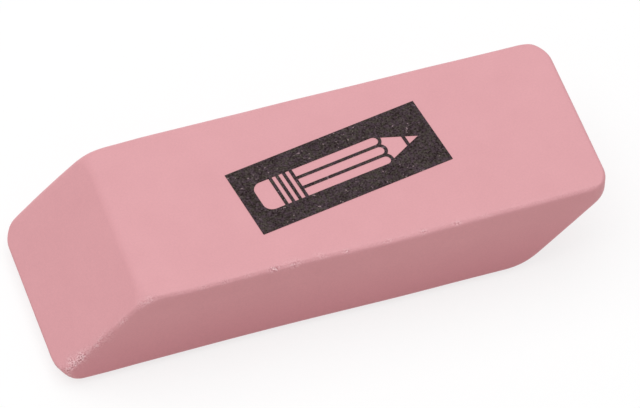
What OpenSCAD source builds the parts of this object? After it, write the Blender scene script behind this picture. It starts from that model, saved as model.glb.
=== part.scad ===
// Bevelled block eraser: a slab of tumbled rubber with both ends cut on the same slant,
// so its side view is a parallelogram, and a screen-printed ink panel on its upper face.
//
// Frame: X runs along the length towards the overhanging end, Y across the width, Z up.
// The origin is the centre of the lower face's plan, on the surface the eraser lies on.

/* [Block] */
// Length from one pointed end to the other, over the worn tips
block_length = 60.5; // [50:0.5:80]
// Width across the two long side faces
block_width = 21.5; // [16:0.5:30]
// Thickness between the two broad faces
block_thickness = 11; // [8:0.5:14]
// Angle between the slanted ends and the broad faces
bevel_angle = 45; // [40:1:60]

/* [Tumbled edges] */
// Radius of the long edges where the side faces meet the others
edge_radius = 1.3; // [0.6:0.1:2]
// Radius of the pointed ends, in the middle of the width
tip_radius = 1.2; // [0.6:0.1:2.5]
// Radius of the pointed ends where they reach the side faces
tip_corner_radius = 2.6; // [2.1:0.1:3.5]
// Radius of the blunt folds, in the middle of the width
fold_radius = 3.5; // [1.5:0.1:6]
// Radius of the blunt folds where they reach the side faces
fold_corner_radius = 7.6; // [4:0.1:10]
// Distance from the side faces over which the tips and folds wear rounder
corner_runout = 3.4; // [2.2:0.1:6]

/* [Printed panel] */
// Length of the inked rectangle
panel_length = 22.3; // [16:0.1:28]
// Height of the inked rectangle
panel_height = 8.8; // [6:0.1:11]
// Thickness of the ink film
ink_thickness = 0.05; // [0.03:0.01:0.1]
// Slight turn of the print against the block's length
panel_turn = 9.2; // [-15:0.1:15]
// Place of the panel's middle along the block, from its centre
panel_offset = 3.6; // [-2:0.1:6]
// Place of the panel's middle across the block, from its centre
panel_drift = 0.1; // [-1:0.1:1]

/* [Pencil left bare in the ink] */
// Ink left between the figure and each short side of the panel
figure_margin = 1.75; // [0.5:0.05:3]
// Height of the pencil figure
pencil_height = 3.9; // [3:0.1:5]
// Length of the rubber tip at its blunt end
pencil_rubber = 2.1; // [1:0.1:3]
// Length of the ferrule that holds the rubber tip
pencil_ferrule = 2; // [1.5:0.1:3]
// Length of the sharpened cone with its point
pencil_cone = 4.6; // [3:0.1:6]
// Length of the point itself
pencil_point = 1.3; // [0.8:0.1:2]
// Width of the ink lines that divide the figure
ink_line = 0.36; // [0.2:0.02:0.5]

/* [Hidden] */

// Facets round the arc of a tip, of a fold and of a long edge, and stations in the run-out
tip_steps = 18;
fold_steps = 10;
edge_steps = 9;
runout_steps = 6;
// Smoothness of the small arcs in the print
arc_fn = 32;
// Crimped bands of the ferrule, and faces of the barrel that show from one side
ferrule_bands = 3;
barrel_faces = 3;

half_width = block_width / 2;
pencil_length = panel_length - 2 * figure_margin;
// How far each end leans over between the lower and the upper face
bevel_run = block_thickness / tan(bevel_angle);
// Rounding a tip takes this much off the sharp length, at each end
tip_loss = tip_radius * (1 / tan(bevel_angle / 2) - 1);
sharp_length = block_length + 2 * tip_loss;

// The four sharp corners of the side view, anticlockwise from the lower tip. Each is given as
// [x, z, interior angle, direction of its bisector, radius in mid-width, at the side, facets].
profile_corners = [
    [-sharp_length / 2, 0, bevel_angle, bevel_angle / 2,
        tip_radius, tip_corner_radius, tip_steps],
    [sharp_length / 2 - bevel_run, 0, 180 - bevel_angle, 90 + bevel_angle / 2,
        fold_radius, fold_corner_radius, fold_steps],
    [sharp_length / 2, block_thickness, bevel_angle, 180 + bevel_angle / 2,
        tip_radius, tip_corner_radius, tip_steps],
    [bevel_run - sharp_length / 2, block_thickness, 180 - bevel_angle, 270 + bevel_angle / 2,
        fold_radius, fold_corner_radius, fold_steps]
];

// A quarter circle's rise, from 0 at the start of a stretch to 1 at its end
function quarter_rise(share) = 1 - sqrt(max(0, 1 - share * share));

// Share of the run-out that a station has passed: 0 in mid-width, 1 on the side face
function runout_share(y) = max(0, abs(y) - half_width + corner_runout) / corner_runout;

// How far the whole profile has drawn in where the long edges roll over to the side face
function edge_inset(y) =
    edge_radius * quarter_rise(max(0, abs(y) - half_width + edge_radius) / edge_radius);

// The arc that rounds one corner of the profile at station y. Its centre lies on the corner's
// bisector at the depth of a fillet of the full radius, and the inset shortens the arc's own.
function corner_arc(corner, y) =
    let (
        full = corner[4] + (corner[5] - corner[4]) * quarter_rise(runout_share(y)),
        depth = full / sin(corner[2] / 2),
        centre = [corner[0] + depth * cos(corner[3]), corner[1] + depth * sin(corner[3])],
        turn = 180 - corner[2],
        first = corner[3] + 180 - turn / 2
    )
    [for (i = [0:corner[6]])
        let (a = first + turn * i / corner[6])
        [centre.x + (full - edge_inset(y)) * cos(a), y, centre.y + (full - edge_inset(y)) * sin(a)]];

// The closed outline of the block where a plane cuts it at station y
function outline_at(y) = [for (corner = profile_corners) each corner_arc(corner, y)];

// Stations across the width: the run-out in even steps, then the rolled edge by equal angles
side_stations = [
    for (i = [0:runout_steps - 1])
        half_width - corner_runout + (corner_runout - edge_radius) * i / runout_steps,
    for (i = [0:edge_steps]) half_width - edge_radius + edge_radius * sin(90 * i / edge_steps)
];
last_side = len(side_stations) - 1;
stations = [
    for (i = [0:last_side]) -side_stations[last_side - i],
    each side_stations
];

// The block, lofted through its outlines from one side face to the other
module eraser_body() {
    ring_size = len(outline_at(0));
    last_ring = len(stations) - 1;
    color([0.886, 0.655, 0.678])
        polyhedron(
            points = [for (y = stations) each outline_at(y)],
            faces = [
                [for (i = [0:ring_size - 1]) ring_size - 1 - i],
                for (j = [0:last_ring - 1], i = [0:ring_size - 1])
                    let (next = (i + 1) % ring_size, low = j * ring_size, high = low + ring_size)
                    [low + i, low + next, high + next, high + i],
                [for (i = [0:ring_size - 1]) last_ring * ring_size + i]
            ],
            convexity = 2
        );
}

// The rubber tip at the blunt end of the pencil, with two rounded corners at its free end
module pencil_rubber_tip(corner) {
    for (side = [-1, 1])
        translate([corner, side * (pencil_height / 2 - corner)])
            circle(corner, $fn = arc_fn);
    translate([0, corner - pencil_height / 2])
        square([corner, pencil_height - 2 * corner]);
    translate([corner, -pencil_height / 2])
        square([pencil_rubber - corner, pencil_height]);
}

// One long face of the barrel: a stripe whose sharpened end is a round tongue
module barrel_stripe(length, height) {
    translate([0, -height / 2])
        square([length - height / 2, height]);
    translate([length - height / 2, 0])
        circle(height / 2, $fn = arc_fn);
}

// The pencil figure, lying along X with its point towards +X and its middle at the origin
module pencil_figure() {
    ferrule_at = pencil_rubber + ink_line;
    band = (pencil_ferrule - (ferrule_bands - 1) * ink_line) / ferrule_bands;
    barrel_at = ferrule_at + pencil_ferrule + ink_line;
    cone_at = pencil_length - pencil_cone;
    stripe = (pencil_height - (barrel_faces - 1) * ink_line) / barrel_faces;
    stripe_middles = [for (i = [0:barrel_faces - 1])
        (i - (barrel_faces - 1) / 2) * (stripe + ink_line)];

    translate([-pencil_length / 2, 0]) {
        pencil_rubber_tip(corner = pencil_rubber / 2);
        // Crimped bands of the ferrule
        for (i = [0:ferrule_bands - 1])
            translate([ferrule_at + i * (band + ink_line), -pencil_height / 2])
                square([band, pencil_height]);
        // Long faces of the barrel
        for (middle = stripe_middles)
            translate([barrel_at, middle])
                barrel_stripe(cone_at - barrel_at + stripe / 2, stripe);
        // Bare wood of the cone, cut back by an ink line round the tongues and behind the point
        difference() {
            polygon([
                [cone_at, -pencil_height / 2],
                [pencil_length, 0],
                [cone_at, pencil_height / 2]
            ]);
            for (middle = stripe_middles)
                translate([cone_at, middle])
                    circle(stripe / 2 + ink_line, $fn = arc_fn);
            translate([pencil_length - pencil_point - ink_line, -pencil_height / 2])
                square([ink_line, pencil_height]);
        }
    }
}

// The ink film: a plain rectangle with the pencil figure left out of it
module printed_panel() {
    color([0.27, 0.235, 0.235])
        translate([panel_offset, panel_drift, block_thickness])
            rotate([0, 0, panel_turn])
                linear_extrude(height = ink_thickness)
                    difference() {
                        square([panel_length, panel_height], center = true);
                        pencil_figure();
                    }
}

eraser_body();
printed_panel();
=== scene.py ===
import math
from collections import namedtuple

import bmesh
import bpy
from mathutils import Matrix, Vector, noise


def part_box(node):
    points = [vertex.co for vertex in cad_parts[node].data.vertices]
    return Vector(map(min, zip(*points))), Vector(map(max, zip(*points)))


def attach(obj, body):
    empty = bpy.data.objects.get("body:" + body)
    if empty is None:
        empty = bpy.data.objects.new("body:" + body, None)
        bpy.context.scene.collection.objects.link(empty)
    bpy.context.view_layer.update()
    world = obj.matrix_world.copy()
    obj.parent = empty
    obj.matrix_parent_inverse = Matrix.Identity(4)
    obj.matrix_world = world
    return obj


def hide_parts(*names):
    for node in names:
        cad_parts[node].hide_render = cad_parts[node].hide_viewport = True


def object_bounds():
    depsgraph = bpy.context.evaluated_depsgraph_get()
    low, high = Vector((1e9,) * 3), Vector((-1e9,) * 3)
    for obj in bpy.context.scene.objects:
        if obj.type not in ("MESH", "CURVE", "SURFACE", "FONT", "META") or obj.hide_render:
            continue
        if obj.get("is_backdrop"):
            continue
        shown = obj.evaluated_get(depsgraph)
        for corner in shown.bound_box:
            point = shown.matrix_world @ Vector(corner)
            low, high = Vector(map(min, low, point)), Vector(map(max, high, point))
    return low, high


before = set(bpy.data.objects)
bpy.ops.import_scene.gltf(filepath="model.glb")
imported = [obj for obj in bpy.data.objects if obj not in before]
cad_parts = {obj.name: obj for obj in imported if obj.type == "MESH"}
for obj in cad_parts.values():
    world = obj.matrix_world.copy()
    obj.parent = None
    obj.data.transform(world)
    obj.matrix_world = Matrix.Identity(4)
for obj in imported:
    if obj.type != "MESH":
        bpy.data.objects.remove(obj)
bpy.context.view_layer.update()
bpy.ops.object.select_all(action="DESELECT")

# ---------------------------------------------------------------------------
# Rubber block
# The eraser itself: a slab of filled pink rubber, moulded, cut on the same slant at both ends
# and then tumbled in a drum, which wore every edge round and the corners most of all.
# ---------------------------------------------------------------------------
mm = 0.001
low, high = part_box("eraser_body")
length, width, thickness = high - low
half = length / 2
bevel_angle = math.radians(45)
# Unworn, each tip would run on to a sharp edge. At the block's end its wedge is still this thick
tip_height = 1.7 * mm
sharp_half = half + tip_height / math.tan(bevel_angle)
bevel_run = thickness / math.tan(bevel_angle)
bevel_length = thickness / math.sin(bevel_angle)
# Both tips are worn to a small blunt face. The right one stands upright and is worn back
# further, and the left one leans in towards its foot
right_tip = half - 0.23 * mm
left_top, left_lean = 1.55 * mm, math.radians(30)
left_tip = left_top - sharp_half
left_foot = left_tip + left_top * math.tan(left_lean)

# The six lines of the side view, anticlockwise. Each starts at a corner and heads on from there;
# the corner is rounded by an arc of so many facets, with one radius in mid-width and one at the
# side faces. A rim says how far the line is drawn in at a side face, and over what run
Line = namedtuple("Line", "corner heading radius side_radius facets front_rim back_rim")
lower_face = Line((left_foot, 0), 0, 1.4 * mm, 1.4 * mm, 20,
                  (1.5 * mm, 1.5 * mm), (1.2 * mm, 1.2 * mm))
undercut_end = Line((sharp_half - bevel_run, 0), bevel_angle, 1.8 * mm, 7.2 * mm, 24,
                    (1.35 * mm, 1.35 * mm), (1.2 * mm, 1.2 * mm))
right_face = Line((right_tip, right_tip + thickness - sharp_half), math.pi / 2,
                  1.2 * mm, 2.2 * mm, 14, (2 * mm, 2.5 * mm), (3.1 * mm, 3.4 * mm))
upper_face = Line((right_tip, thickness), math.pi, 0.45 * mm, 0.6 * mm, 16,
                  (0.48 * mm, 0.48 * mm), (0.95 * mm, 0.95 * mm))
bevel = Line((bevel_run - sharp_half, thickness), math.pi + bevel_angle, 1.8 * mm, 7.2 * mm, 24,
             (0.5 * mm, 0.5 * mm), (1.05 * mm, 1.05 * mm))
left_face = Line((left_tip, left_top), 3 * math.pi / 2 + left_lean, 0.45 * mm, 0.5 * mm, 20,
                 (2 * mm, 3.4 * mm), (3.6 * mm, 3 * mm))
lines = [lower_face, undercut_end, right_face, upper_face, bevel, left_face]
# The run over which the corners' radii grow towards the side faces
corner_run = 3.4 * mm


def quarter_rise(y, run):
    """A quarter circle's rise, from 0 where a run up to a side face starts to 1 at its end."""
    share = max(0, abs(y) - width / 2 + run) / run
    return 1 - math.sqrt(max(0, 1 - share * share))


def drawn_in(line, y):
    """How far a line is drawn in at y."""
    depth, run = line.front_rim if y < 0 else line.back_rim
    return depth * quarter_rise(y, run)


def turn_at(number):
    """How far the outline turns at the start of a line."""
    return (lines[number].heading - lines[number - 1].heading) % (2 * math.pi)


def arc_at(number, y):
    """Centre and radius of the arc that rounds the start of a line at y."""
    line, previous = lines[number], lines[number - 1]
    radius = line.radius + (line.side_radius - line.radius) * quarter_rise(y, corner_run)
    turn = turn_at(number)
    backward = line.heading + math.pi - turn
    ahead = (drawn_in(previous, y) + radius) / math.sin(turn)
    behind = (drawn_in(line, y) + radius) / math.sin(turn)
    x, z = line.corner
    centre = Vector((x + ahead * math.cos(line.heading) + behind * math.cos(backward), y,
                     z + ahead * math.sin(line.heading) + behind * math.sin(backward)))
    return centre, radius


def arc_end(number, y, side):
    """Where that arc starts (side -1) or stops (side 1)."""
    centre, radius = arc_at(number, y)
    angle = lines[number].heading - math.pi / 2 + (side - 1) / 2 * turn_at(number)
    return centre + radius * Vector((math.cos(angle), 0, math.sin(angle)))


def on_arc(place, number, y):
    """Whether a place on the outline belongs to the arc at the start of a line at y."""
    slack, slack_angle = 0.002 * mm, 0.01
    centre, radius = arc_at(number, y)
    out = Vector((place.x - centre.x, 0, place.z - centre.z))
    middle = lines[number].heading - (math.pi + turn_at(number)) / 2
    facing = out.normalized().dot(Vector((math.cos(middle), 0, math.sin(middle))))
    return (abs(out.length - radius) < slack
            and facing > math.cos(turn_at(number) / 2 + slack_angle))


def pick(mesh, chosen):
    """Selects these vertices, and nothing else, in edit mode."""
    bpy.ops.mesh.select_all(action="DESELECT")
    for vertex in chosen:
        vertex.select = True
    mesh.select_flush(True)


# Where the outline is drawn, from side face to side face: evenly in the middle, and in ever
# finer steps over each rim
flat_steps, rim_steps = 14, 9
finest = 0.03 * mm
plain_half = width / 2 - corner_run
stations = [plain_half * (2 * i / flat_steps - 1) for i in range(1, flat_steps)]
rims = [(-1, line.front_rim) for line in lines] + [(1, line.back_rim) for line in lines]
for side, (_, run) in rims:
    stations += [side * (width / 2 - run + run * math.sin(math.pi / 2 * i / rim_steps))
                 for i in range(rim_steps + 1)]
along = [-width / 2]
for y in sorted(stations):
    if finest < y - along[-1] and finest < width / 2 - y:
        along.append(y)
stations = along + [width / 2]

# One side face is drawn as an outline of spun arcs joined by straight stretches
bpy.ops.mesh.primitive_plane_add(size=thickness)
block = bpy.context.object
block.name = block.data.name = "rubber_block"
bpy.ops.object.mode_set(mode="EDIT")
bpy.ops.mesh.merge(type="CENTER")
bpy.ops.transform.translate(value=arc_end(0, stations[0], -1))
for number, line in enumerate(lines):
    bpy.ops.mesh.spin(steps=line.facets, angle=turn_at(number),
                      center=arc_at(number, stations[0])[0], axis=(0, 1, 0))
    following = (number + 1) % len(lines)
    stretch = arc_end(following, stations[0], -1) - arc_end(number, stations[0], 1)
    bpy.ops.mesh.extrude_region_move(TRANSFORM_OT_translate={"value": stretch})
bpy.ops.mesh.select_all(action="SELECT")
bpy.ops.mesh.remove_doubles(threshold=0.001 * mm)
bpy.ops.mesh.select_all(action="SELECT")
bpy.ops.mesh.edge_face_add()

# It is extruded from station to station across the width, and at each one every corner's arc
# is moved and resized to what tumbling left there
mesh = bmesh.from_edit_mesh(block.data)
for last, y in zip(stations, stations[1:]):
    bpy.ops.mesh.extrude_region_move(TRANSFORM_OT_translate={"value": (0, y - last, 0)})
    outline = [vertex for vertex in mesh.verts if vertex.select]
    arcs = [[vertex for vertex in outline if on_arc(vertex.co, number, last)]
            for number in range(len(lines))]
    for number, arc in enumerate(arcs):
        (old_centre, old_radius), (centre, radius) = arc_at(number, last), arc_at(number, y)
        pick(mesh, arc)
        bpy.ops.transform.resize(value=[radius / old_radius] * 3,
                                 center_override=(old_centre.x, y, old_centre.z))
        bpy.ops.transform.translate(value=(centre.x - old_centre.x, 0, centre.z - old_centre.z))
    pick(mesh, outline)
# The long flats get cross lines, and the side faces a square grid, for the wear to bend
face_cuts, bevel_cuts = 150, 40
bpy.ops.mesh.select_mode(type="EDGE")
for shortest, cuts in ((length / 2, face_cuts), (bevel_length / 2, bevel_cuts)):
    for edge in mesh.edges:
        edge.select = edge.calc_length() > shortest
    mesh.select_flush_mode()
    bpy.ops.mesh.subdivide(number_cuts=cuts)
bpy.ops.mesh.select_mode(type="FACE")
grid, each_way, upward = 1.5 * mm, 19, 7
side_facing = 0.9999
planes = [((grid * i, 0, 0), (1, 0, 0)) for i in range(-each_way, each_way + 1)]
planes += [((0, 0, grid * i), (0, 0, 1)) for i in range(1, upward + 1)]
for plane, facing in planes:
    for face in mesh.faces:
        face.select = abs(face.normal.y) > side_facing
    mesh.select_flush_mode()
    bpy.ops.mesh.bisect(plane_co=plane, plane_no=facing)
bpy.ops.mesh.select_mode(type="VERT")
bpy.ops.mesh.select_all(action="SELECT")
bpy.ops.mesh.normals_make_consistent(inside=False)
bpy.ops.object.mode_set(mode="OBJECT")
bpy.ops.object.shade_smooth()

# No block leaves the mould and the drum quite straight. Each push: the place where it is
# greatest, its direction and amount, and its reach, in millimetres
pushes = [
    ((8, -10.7, 10.6), (0, -0.24, 0), 11),
    ((19, -10.7, 10.6), (0, -0.1, 0), 11),
    ((13, -10.7, 10.6), (0, 0.08, 0), 7),
    ((-20.5, -10.7, 10.6), (0, 0.16, 0), 4),
    ((-26, -10.7, 6), (0, 0.22, 0), 6),
    ((-26, -10.7, 0.6), (0, -0.1, 0), 4),
    ((-8, -10.7, 0.6), (0, 0.13, 0), 15),
    ((23, -10.7, 1), (0, 0.1, 0), 5),
    ((26, 10.7, 10.6), (0, -0.14, 0), 14),
    ((10, 10.7, 10.6), (0, -0.05, 0), 9),
    ((-20, 10.7, 10.6), (0, -0.1, 0), 5),
    ((-29, 10.5, 2), (0, -0.1, 0), 4),
]
bpy.ops.object.mode_set(mode="EDIT")
mesh = bmesh.from_edit_mesh(block.data)
# Vertices within this many millimetres of the place move by the whole push
held = 1
for place, push, reach in pushes:
    pick(mesh, [vertex for vertex in mesh.verts if (vertex.co / mm - Vector(place)).length < held])
    bpy.ops.transform.translate(value=Vector(push) * mm, use_proportional_edit=True,
                                proportional_edit_falloff="SMOOTH", proportional_size=reach * mm)
bpy.ops.object.mode_set(mode="OBJECT")

# The edges and the tips wear down in long waves, and are scuffed in patches where the block
# fell on them. Each scuff: its middle and reach in millimetres, and how rough it is
scuffs = [
    ((-29.4, -10, 1.2), 3, 1.05),
    ((-29.6, -9, 1.9), 2.6, 1.1),
    ((-29.2, -10.2, 1.9), 2, 1.2),
    ((-28.2, -10.4, 3.4), 3.8, 1.1),
    ((-28.6, -9.4, 2.9), 2.4, 1.25),
    ((-25.8, -10.6, 6), 2.9, 1.1),
    ((-23.4, -10.6, 8.4), 1.8, 0.7),
    ((-20.8, -10.6, 10.4), 2.4, 0.9),
    ((-17.6, -10.6, 10.9), 1.2, 0.6),
    ((-14.5, -10.6, 10.9), 1.3, 0.6),
    ((-12.4, -10.6, 10.9), 1, 0.65),
    ((-9.6, -10.6, 10.9), 1.2, 0.7),
    ((-7.1, -10.6, 10.8), 0.9, 1.35),
    ((-4.9, -10.6, 10.8), 2, 0.85),
    ((-2.2, -10.6, 10.9), 1.6, 0.8),
    ((0.8, -10.6, 10.9), 0.8, 0.95),
    ((5.3, -10.6, 10.9), 0.7, 0.85),
    ((9.2, -10.6, 10.9), 0.8, 0.9),
    ((12.8, -10.6, 10.9), 0.7, 0.75),
    ((15.9, -10.6, 10.9), 0.7, 0.7),
    ((-30, -6, 0.9), 4.5, 0.6),
    ((29.5, 10, 10.5), 4, 0.6),
    ((24, 10.6, 6), 4, 0.7),
    ((19, 10.6, 0.5), 4, 0.7),
    ((-4, 10.6, 10.8), 6, 0.5),
    ((0, 10.6, 0.3), 7, 0.6),
    ((-28, 10, 1), 3.5, 0.7),
]
plain_roughness = 0.25
# How far in from an edge its wear reaches, over the side faces and over the faces that roll down
# to it, and how much further a scuff of roughness 1 spreads over those
edge_reach, rolled_reach = 1 * mm, 1.7 * mm
scuff_spread = 1.5 * mm
# How worn an edge is at least and what a scuff adds, and how much the tips and folds count as edge
plain_wear, scuff_wear, turned_wear = 0.14, 0.5, 0.5
# For a scuff, how much they count as edge at least and what its roughness adds, its strength,
# and its patches' mean, swing and size in millimetres
turned_scuff, rough_turned_scuff, scuff_strength = 0.4, 0.35, 1.4
patch_mean, patch_swing, patch_size = 0.75, 0.9, 0.9
# Weights below this are left out
slight = 0.02
# The surface has turned right away from a flat once their facings' product is this far below 1
fully_turned = 0.25
sine, cosine = math.sin(bevel_angle), math.cos(bevel_angle)
flat_facings = [Vector(facing) for facing in ((0, 1, 0), (0, 0, 1), (sine, 0, -cosine))]
worn = block.vertex_groups.new(name="worn")
scuffed = block.vertex_groups.new(name="scuffed")
for vertex in block.data.vertices:
    place = vertex.co / mm
    x, y, z = vertex.co
    from_side = width / 2 - abs(y)
    from_outline = min(z, thickness - z, half - abs(x), (sharp_half + x) * sine - z * cosine,
                       (sharp_half - x) * sine - (thickness - z) * cosine)
    rough = max(plain_roughness, *(amount * (1 - (place - Vector(middle)).length / reach)
                                   for middle, reach, amount in scuffs))
    # 0 on the flats, 1 where the surface has turned well away from all of them
    aligned = max(abs(vertex.normal.dot(facing)) for facing in flat_facings)
    turned = min(1, (1 - aligned) / fully_turned)
    # The upper face and the bevel roll down to the edge more gently than the side faces do
    down_side = from_outline / edge_reach
    rolled = max(0, 1 - max(from_side / rolled_reach, down_side), turned_wear * turned)
    if rolled > slight:
        wear = rolled ** 2 * (plain_wear + scuff_wear * min(1, rough))
        worn.add([vertex.index], wear, "REPLACE")
    # A scuff spreads over them too, the further the rougher it is
    spread = edge_reach + scuff_spread * rough
    edge = max(0, 1 - max(from_side / spread, down_side),
               (turned_scuff + rough_turned_scuff * rough) * turned)
    if edge < slight:
        continue
    patchy = patch_mean + patch_swing * noise.noise(place / patch_size)
    shows = (scuff_strength * rough * edge) ** 2 * patchy
    scuffed.add([vertex.index], min(1, max(0, shows)), "REPLACE")

# The scuffed patches get a mesh fine enough for their crumbs: where a scuff shows more than so
# much, edges longer than this are halved
finer_edges = ((0.25, 0.2 * mm), (0.3, 0.1 * mm), (0.4, 0.08 * mm))
bpy.ops.object.mode_set(mode="EDIT")
bpy.ops.mesh.select_all(action="DESELECT")
bpy.ops.mesh.select_mode(type="EDGE")
for shown, longest in finer_edges:
    mesh = bmesh.from_edit_mesh(block.data)
    weights = mesh.verts.layers.deform.verify()
    for edge in mesh.edges:
        rough_end = max(vertex[weights].get(scuffed.index, 0) for vertex in edge.verts)
        edge.select = rough_end > shown and edge.calc_length() > longest
    mesh.select_flush_mode()
    bpy.ops.mesh.subdivide(number_cuts=1, quadcorner="INNERVERT")
bpy.ops.mesh.select_mode(type="VERT")
bpy.ops.object.mode_set(mode="OBJECT")


def press(name, group, grain, depth, middle):
    """Presses cloudy noise of a grain and a depth in millimetres into the block, weighted by a
    vertex group. Tones of the noise above the middle one raise the surface."""
    pattern = bpy.data.textures.new(name, "CLOUDS")
    pattern.noise_scale = grain * mm
    pattern.noise_depth = 1
    relief = block.modifiers.new(name, "DISPLACE")
    relief.texture = pattern
    relief.texture_coords = "LOCAL"
    relief.vertex_group = group
    relief.mid_level = middle
    relief.strength = depth * mm
    bpy.ops.object.modifier_apply(modifier=relief.name)


wave_size, crumb_size = 7, 0.16
press("Long wear", "worn", wave_size, depth=-0.3, middle=-0.5)
press("Crumbs", "scuffed", crumb_size, depth=0.17, middle=0.5)

# The material reads two attributes: the scuffs, and a painted shade that deepens the pink on the
# side faces, more and more from this height down to the foot
bare_from = 8 * mm
leaning = 0.6
scuff = block.data.attributes.new("scuff", "FLOAT", "POINT")
bare = block.data.attributes.new("bare", "FLOAT", "POINT")
scuffed = block.vertex_groups["scuffed"].index
for vertex in block.data.vertices:
    for entry in vertex.groups:
        if entry.group == scuffed:
            scuff.data[vertex.index].value = entry.weight
    upright = max(0, abs(vertex.normal.y) - leaning) / (1 - leaning)
    bare.data[vertex.index].value = upright * max(0, 1 - vertex.co.z / bare_from)
block.vertex_groups.clear()

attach(block, "root")
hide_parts("eraser_body")


def linear(hex_colour):
    """An sRGB hex colour as the linear colour that a shader takes."""
    parts = [int(hex_colour[i:i + 2], 16) / 255 for i in (1, 3, 5)]
    return [c / 12.92 if c <= 0.04045 else ((c + 0.055) / 1.055) ** 2.4 for c in parts] + [1]


def node(tree, kind, settings, inputs):
    """Adds a node with its settings, and fills its inputs with values or with links."""
    made = tree.nodes.new(kind)
    for name, value in settings.items():
        setattr(made, name, value)
    for name, value in inputs.items():
        if isinstance(value, bpy.types.NodeSocket):
            tree.links.new(value, made.inputs[name])
        else:
            made.inputs[name].default_value = value
    return made


# A Mix node for colours has its two colours and the mixed one in these sockets
first, second, mixed = 6, 7, 2

# Vulcanised rubber, filled with chalk and pumice and tumbled dry: dull and powdery, with a
# faint cloudiness, a filler grain and pale crumbs where it is scuffed, and painted shade in its
# pits and on the side faces towards the foot
rubber = bpy.data.materials.new("tumbled_pink_rubber")
rubber.use_nodes = True
tree = rubber.node_tree
surface = tree.nodes["Principled BSDF"]
place = node(tree, "ShaderNodeTexCoord", {}, {}).outputs["Object"]
scuff = node(tree, "ShaderNodeAttribute", {"attribute_name": "scuff"}, {}).outputs["Fac"]
# Painted shade: how far the side faces are deepened towards the foot
bare = node(tree, "ShaderNodeAttribute", {"attribute_name": "bare"}, {}).outputs["Fac"]
per_metre = 1000
# Sizes in millimetres. The clouds are where the mix was a little paler; the real filler is
# finer than 0.1 mm, and its grain is drawn twice that size so that it shows
cloud_size, filler_size = 4, 0.2
clouds = node(tree, "ShaderNodeTexNoise", {},
              {"Vector": place, "Scale": per_metre / cloud_size, "Detail": 3, "Roughness": 0.6})
filler = node(tree, "ShaderNodeTexNoise", {},
              {"Vector": place, "Scale": per_metre / filler_size, "Detail": 1, "Roughness": 0.5})
crumbs = node(tree, "ShaderNodeTexNoise", {},
              {"Vector": place, "Scale": per_metre / crumb_size, "Detail": 1, "Roughness": 0.5})
cloud_tone = node(tree, "ShaderNodeMapRange", {}, {"Value": clouds.outputs["Fac"],
                  "From Min": 0.3, "From Max": 0.7})
filler_tone = node(tree, "ShaderNodeMapRange", {}, {"Value": filler.outputs["Fac"],
                   "From Min": 0.3, "From Max": 0.7})
# The body colour: chalky pink, deepened by painted shade on the side faces towards the foot
chalky = node(tree, "ShaderNodeMix", {"data_type": "RGBA"},
              {0: cloud_tone.outputs[0], first: linear("#DC9EA4"), second: linear("#DFA1A7")})
# Painted shade: the side faces turn this deeper pink towards the foot
body = node(tree, "ShaderNodeMix", {"data_type": "RGBA"},
            {0: bare, first: chalky.outputs[mixed], second: linear("#D6929A")})
shade = node(tree, "ShaderNodeMix", {"data_type": "RGBA"},
             {0: filler_tone.outputs[0], first: linear("#FAFAFA"), second: linear("#FFFFFF")})
grained = node(tree, "ShaderNodeMix", {"data_type": "RGBA", "blend_type": "MULTIPLY"},
               {0: 1.0, first: body.outputs[mixed], second: shade.outputs[mixed]})
# On the scuffs, the noise that raised the crumbs also has its low tones as pits, darkened
# with painted shade, and its high ones as pale crumbs
pit_shade_tone = node(tree, "ShaderNodeMapRange", {}, {"Value": crumbs.outputs["Fac"],
                "From Min": 0.45, "From Max": 0.38})
crumb_tone = node(tree, "ShaderNodeMapRange", {}, {"Value": crumbs.outputs["Fac"],
                  "From Min": 0.47, "From Max": 0.59})
pit_shade_amount = node(tree, "ShaderNodeMath", {"operation": "MULTIPLY"}, {0: pit_shade_tone.outputs[0], 1: scuff})
pale = node(tree, "ShaderNodeMath", {"operation": "MULTIPLY"},
            {0: crumb_tone.outputs[0], 1: scuff})
# Painted shade: the pits are darkened to this deeper pink
pit_shaded = node(tree, "ShaderNodeMix", {"data_type": "RGBA"},
              {0: pit_shade_amount.outputs[0], first: grained.outputs[mixed], second: linear("#B8787F")})
skin = node(tree, "ShaderNodeMix", {"data_type": "RGBA"},
            {0: pale.outputs[0], first: pit_shaded.outputs[mixed], second: linear("#F4D0D3")})
tree.links.new(skin.outputs[mixed], surface.inputs["Base Color"])
# The filler's grain all over, and a rough relief of the crumbs on the scuffs
fine = node(tree, "ShaderNodeBump", {}, {"Height": filler.outputs["Fac"],
            "Strength": 0.35, "Distance": 0.02 * mm})
crumb_relief = node(tree, "ShaderNodeMath", {"operation": "MULTIPLY"}, {0: scuff, 1: 0.8})
coarse = node(tree, "ShaderNodeBump", {}, {"Height": crumbs.outputs["Fac"],
              "Strength": crumb_relief.outputs[0], "Distance": 0.1 * mm,
              "Normal": fine.outputs[0]})
tree.links.new(coarse.outputs[0], surface.inputs["Normal"])
surface.inputs["Roughness"].default_value = 0.55
surface.inputs["IOR"].default_value = 1.52
surface.inputs["Specular IOR Level"].default_value = 0.4
block.data.materials.append(rubber)

# ---------------------------------------------------------------------------
# Printed panel
# A film of charcoal ink, screen printed on the upper face and a little askew, with a pencil
# left bare in it so that the pink rubber shows through.
# ---------------------------------------------------------------------------
# Matt ink with no gloss of its own: its grain is that of the rubber under it, and the film has
# pinholes where the rubber's pores took no ink
ink = bpy.data.materials.new("screen_printed_ink")
ink.use_nodes = True
tree = ink.node_tree
surface = tree.nodes["Principled BSDF"]
place = node(tree, "ShaderNodeTexCoord", {}, {}).outputs["Object"]
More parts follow.
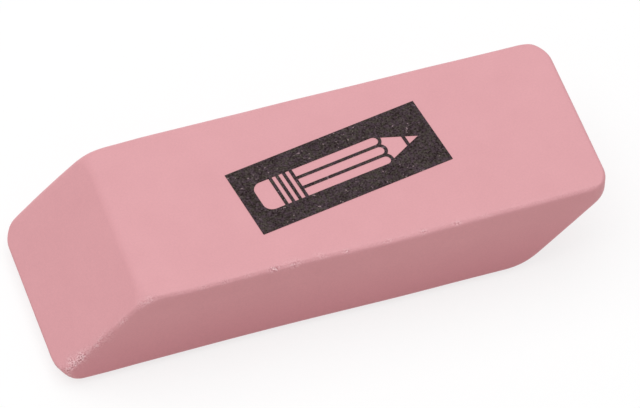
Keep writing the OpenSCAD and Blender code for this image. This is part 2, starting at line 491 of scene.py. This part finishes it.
# Sizes in millimetres: the rubber's grain, the uneven cover of the screen, the pores that stay
# open, and the clouds in which a thin film looks a little cooler or warmer
grain_size, mottle_size, pore_size, cast_size = 0.2, 1.3, 0.32, 0.5
grain = node(tree, "ShaderNodeTexNoise", {},
             {"Vector": place, "Scale": per_metre / grain_size, "Detail": 1, "Roughness": 0.6})
mottle = node(tree, "ShaderNodeTexNoise", {},
              {"Vector": place, "Scale": per_metre / mottle_size, "Detail": 2, "Roughness": 0.6})
pores = node(tree, "ShaderNodeTexNoise", {},
             {"Vector": place, "Scale": per_metre / pore_size, "Detail": 1, "Roughness": 0.5})
cast = node(tree, "ShaderNodeTexNoise", {},
            {"Vector": place, "Scale": per_metre / cast_size, "Detail": 1, "Roughness": 0.6})
cover = node(tree, "ShaderNodeMix", {}, {"Factor": 0.25, "A": grain.outputs["Fac"],
             "B": mottle.outputs["Fac"]})
cover_tone = node(tree, "ShaderNodeMapRange", {}, {"Value": cover.outputs[0],
                  "From Min": 0.33, "From Max": 0.68})
cast_tone = node(tree, "ShaderNodeMapRange", {}, {"Value": cast.outputs["Fac"],
                 "From Min": 0.4, "From Max": 0.6})
pinhole = node(tree, "ShaderNodeMapRange", {}, {"Value": pores.outputs["Fac"],
               "From Min": 0.7, "From Max": 0.79})
thin_film = node(tree, "ShaderNodeMix", {"data_type": "RGBA"},
                 {0: cast_tone.outputs[0], first: linear("#574850"), second: linear("#524B45")})
film = node(tree, "ShaderNodeMix", {"data_type": "RGBA"},
            {0: cover_tone.outputs[0], first: linear("#1E1213"), second: thin_film.outputs[mixed]})
print_tone = node(tree, "ShaderNodeMix", {"data_type": "RGBA"},
                  {0: pinhole.outputs[0], first: film.outputs[mixed], second: linear("#947F82")})
tree.links.new(print_tone.outputs[mixed], surface.inputs["Base Color"])
relief = node(tree, "ShaderNodeBump", {}, {"Height": grain.outputs["Fac"],
              "Strength": 0.3, "Distance": 0.02 * mm})
tree.links.new(relief.outputs[0], surface.inputs["Normal"])
surface.inputs["Roughness"].default_value = 0.85
surface.inputs["Specular IOR Level"].default_value = 0.1
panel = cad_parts["printed_panel"]
panel.material_slots[0].material = ink

# ---------------------------------------------------------------------------
# White card, light and camera
# The eraser lies on a sheet of white card, under one wide softbox that hangs a little behind
# it, with the pale walls of the studio all round.
# ---------------------------------------------------------------------------
bpy.ops.mesh.primitive_plane_add(size=3)
card = bpy.context.object
card.name = card.data.name = "white_card"
card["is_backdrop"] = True


def seen_directly(tree):
    """1 for what the camera sees, also mirrored in a gloss or through glass, else 0."""
    path = tree.nodes.new("ShaderNodeLightPath")
    gloss = node(tree, "ShaderNodeMath", {"operation": "MAXIMUM"},
                 {0: path.outputs["Is Camera Ray"], 1: path.outputs["Is Glossy Ray"]})
    either = node(tree, "ShaderNodeMath", {"operation": "MAXIMUM"},
                  {0: gloss.outputs[0], 1: path.outputs["Is Transmission Ray"]})
    return either.outputs[0]


# The card looks pure white and keeps a faint shadow: what sees it directly gets this share of
# its light as a glow and the rest as plain reflection. To other surfaces it is a pale pinkish grey
glow_share = 0.75
paper = bpy.data.materials.new("matt_white_card")
paper.use_nodes = True
tree = paper.node_tree
tree.nodes.remove(tree.nodes["Principled BSDF"])
seen = seen_directly(tree)
tone = node(tree, "ShaderNodeMix", {"data_type": "RGBA"},
            {0: seen, first: linear("#EAD9D7"), second: linear("#FFFFFF")})
sheet = node(tree, "ShaderNodeBsdfDiffuse", {}, {"Color": tone.outputs[mixed]})
glow = node(tree, "ShaderNodeEmission", {}, {"Color": linear("#FFFFFF"), "Strength": 1.0})
glowing = node(tree, "ShaderNodeMath", {"operation": "MULTIPLY"}, {0: seen, 1: glow_share})
face = node(tree, "ShaderNodeMixShader", {},
            {0: glowing.outputs[0], 1: sheet.outputs[0], 2: glow.outputs[0]})
tree.links.new(face.outputs[0], tree.nodes["Material Output"].inputs["Surface"])
card.data.materials.append(paper)

studio = bpy.data.worlds.new("studio_walls")
bpy.context.scene.world = studio
studio.use_nodes = True
tree = studio.node_tree
walls = tree.nodes["Background"]
walls.inputs["Color"].default_value = linear("#FFFFFF")
walls.inputs["Strength"].default_value = 0.5
backdrop = node(tree, "ShaderNodeBackground", {}, {"Color": linear("#FFFFFF"), "Strength": 1.0})
both = node(tree, "ShaderNodeMixShader", {},
            {0: seen_directly(tree), 1: walls.outputs[0], 2: backdrop.outputs[0]})
tree.links.new(both.outputs[0], tree.nodes["World Output"].inputs["Surface"])

bpy.ops.object.light_add(type="AREA", location=(-0.13, 0.25, 0.9))
softbox = bpy.context.object
softbox.name = softbox.data.name = "overhead_softbox"
softbox.data.shape = "RECTANGLE"
softbox.data.size = 1.4
softbox.data.size_y = 1.2
softbox.data.energy = 7.4

# A long lens from half a metre away, looking down on the near side and the bevelled end. The
# camera is set a little aside, in its own axes, so that the block isn't quite in the middle
azimuth, elevation, roll = (math.radians(a) for a in (-20.28, 51.34, 1.96))
aside, above, distance = 1.514, 0.532, 569.44
turn = (Matrix.Rotation(azimuth, 3, "Z") @ Matrix.Rotation(math.pi / 2 - elevation, 3, "X")
        @ Matrix.Rotation(roll, 3, "Z"))
middle = Vector((0, 0, thickness / 2))
bpy.ops.object.camera_add(location=middle + turn @ Vector((aside, above, distance)) * mm,
                          rotation=turn.to_euler())
camera = bpy.context.object
camera.data.lens = 305.24
camera.data.sensor_width = 36
camera.data.clip_start = 0.01
bpy.context.scene.camera = camera

scene = bpy.context.scene
scene.view_settings.view_transform = "Standard"

low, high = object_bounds()
